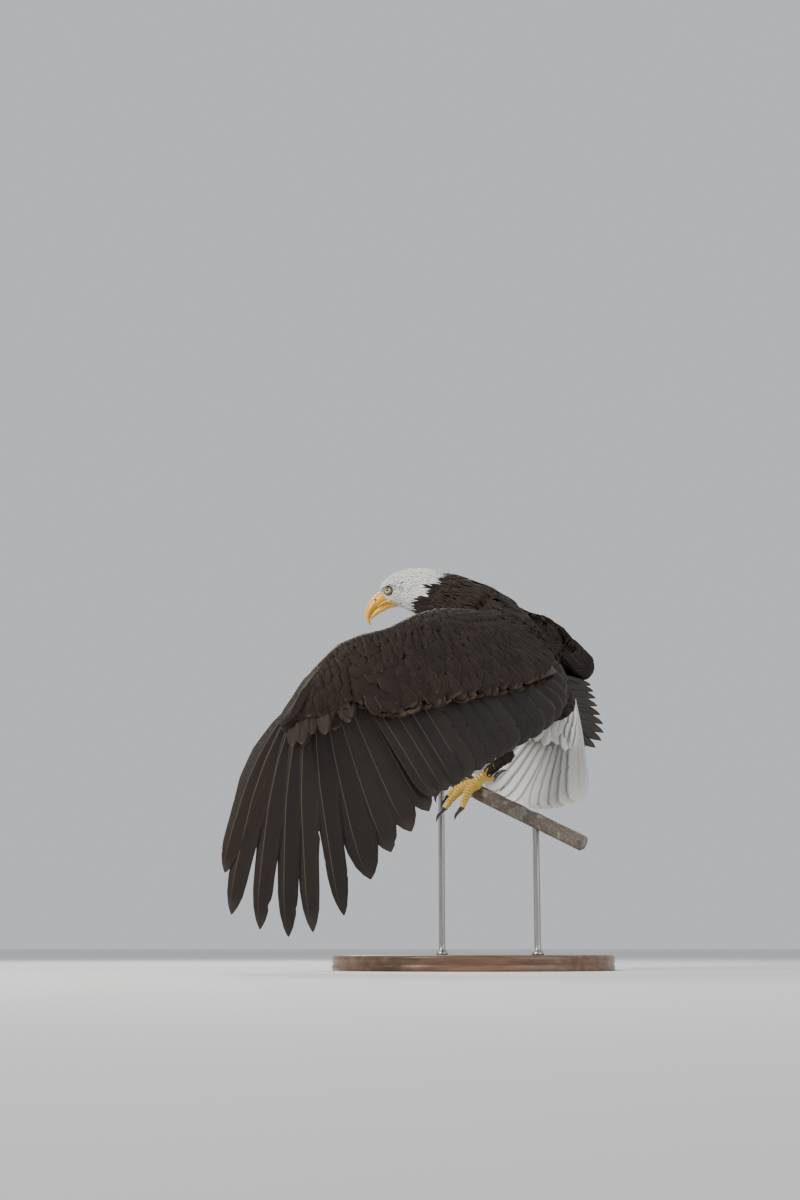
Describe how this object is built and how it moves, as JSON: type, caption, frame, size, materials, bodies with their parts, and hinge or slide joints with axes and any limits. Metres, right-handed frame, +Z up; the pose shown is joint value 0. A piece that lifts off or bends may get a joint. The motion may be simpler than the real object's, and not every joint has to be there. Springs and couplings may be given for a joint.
{
  "type": "bald eagle",
  "caption": "Life-size bald eagle leaning forward on a cut branch, one wing hanging open in front, the other swept back, tail fanned, on a plain display stand.",
  "frame": {"origin": "middle of the underside of the oval base, on the surface that it stands on", "axes": "+Z up; the eagle faces -X, turned about 22 degrees towards -Y; its left wing is on the -Y side"},
  "size_m": [0.7482, 0.8376, 0.751],
  "materials": {
    "base_wood": "satin varnished",
    "rod_steel": "brushed",
    "bark": "rough weathered bark",
    "feather_brown": "matt layered feathers, dark brown with paler edges",
    "flight_feather": "smooth stiff vanes, very dark brown",
    "feather_white": "soft white feathers",
    "eye": "wet and glossy, pale yellow iris",
    "bill_horn": "polished yellow horn",
    "foot_skin": "scaly yellow skin",
    "talon_horn": "polished black horn"
  },
  "bodies": {
    "root": {"stand_base": "base_wood", "stand_rod_left": "rod_steel", "stand_rod_right": "rod_steel", "perch_branch": "bark", "trunk": "feather_brown", "neck": "feather_brown", "head": "feather_white", "eye_left": "eye", "eye_right": "eye", "bill_upper": "bill_horn", "bill_lower": "bill_horn", "wing_left_arm": "feather_brown", "wing_left_hand": "feather_brown", "wing_left_primaries": "flight_feather", "wing_left_secondaries": "flight_feather", "wing_right_arm": "feather_brown", "wing_right_hand": "feather_brown", "wing_right_secondaries": "flight_feather", "wing_right_primaries": "flight_feather", "tail": "feather_white", "leg_left_thigh": "feather_brown", "leg_left_shank": "foot_skin", "leg_left_foot": "foot_skin", "talon_left_1": "talon_horn", "talon_left_2": "talon_horn", "talon_left_3": "talon_horn", "talon_left_4": "talon_horn", "leg_right_thigh": "feather_brown", "leg_right_shank": "foot_skin", "leg_right_foot": "foot_skin", "talon_right_1": "talon_horn", "talon_right_2": "talon_horn", "talon_right_3": "talon_horn", "talon_right_4": "talon_horn"}
  },
  "joints": []
}
